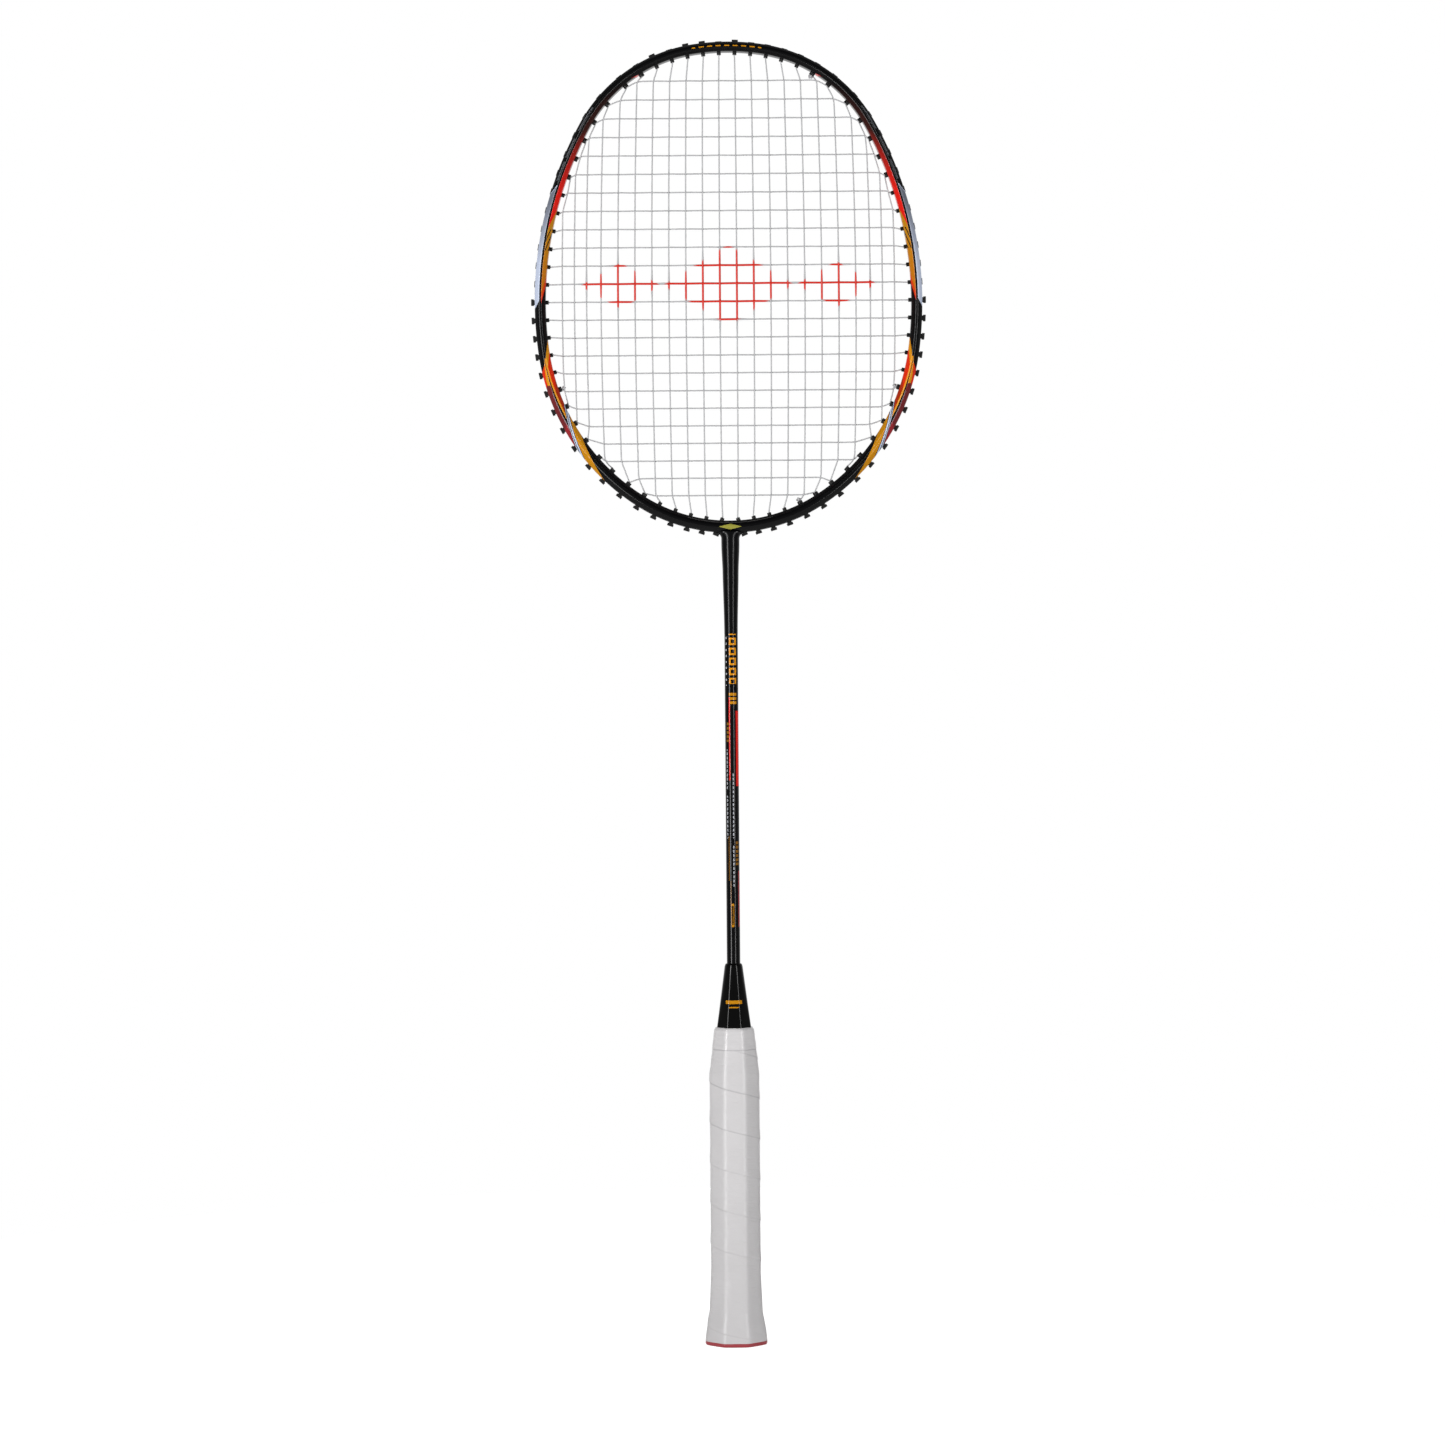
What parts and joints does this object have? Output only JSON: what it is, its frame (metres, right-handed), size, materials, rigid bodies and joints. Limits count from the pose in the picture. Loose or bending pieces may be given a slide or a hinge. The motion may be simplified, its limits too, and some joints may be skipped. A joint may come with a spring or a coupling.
{
  "type": "badminton racket",
  "caption": "Strung badminton racket with an isometric hollow hoop, slim round shaft, cone cap and eight-sided wrapped grip.",
  "frame": {"origin": "centre of the butt's end face", "axes": "+Z along the racket from the butt to the crown of the head, +X across the string bed, +Y through it, with the front face towards -Y"},
  "size_m": [0.2048, 0.0304, 0.6762],
  "materials": {
    "painted_composite": "carbon laminate under gloss lacquer, black with red, gold and silver bands",
    "joint_resin": "moulded resin",
    "black_gloss_plastic": "moulded gloss black",
    "core_wood": "turned and planed light wood",
    "red_plastic": "moulded red",
    "staple_steel": "bare wire",
    "backing_tape": "double-sided adhesive strip",
    "grip_polyurethane": "smooth pale grey polyurethane wrap",
    "finishing_tape": "smooth pale grey tape",
    "string_nylon": "multifilament nylon, white",
    "grommet_nylon": "moulded black nylon"
  },
  "bodies": {
    "root": {"hoop": "painted_composite", "t_joint": "joint_resin", "shaft": "painted_composite", "cone_cap": "black_gloss_plastic", "handle_core": "core_wood", "butt_cap": "red_plastic", "grip_staple": "staple_steel", "grip_backing_tape": "backing_tape", "grip_wrap": "grip_polyurethane", "grip_finishing_tape": "finishing_tape", "main_string": "string_nylon", "cross_string": "string_nylon", "main_string_knots": "string_nylon", "cross_string_knots": "string_nylon", "crown_grommets": "grommet_nylon", "shoulder_grommets": "grommet_nylon", "upper_side_grommets": "grommet_nylon", "lower_side_grommets": "grommet_nylon", "hip_grommets": "grommet_nylon", "throat_grommets": "grommet_nylon", "tie_off_grommets": "grommet_nylon"}
  },
  "joints": []
}
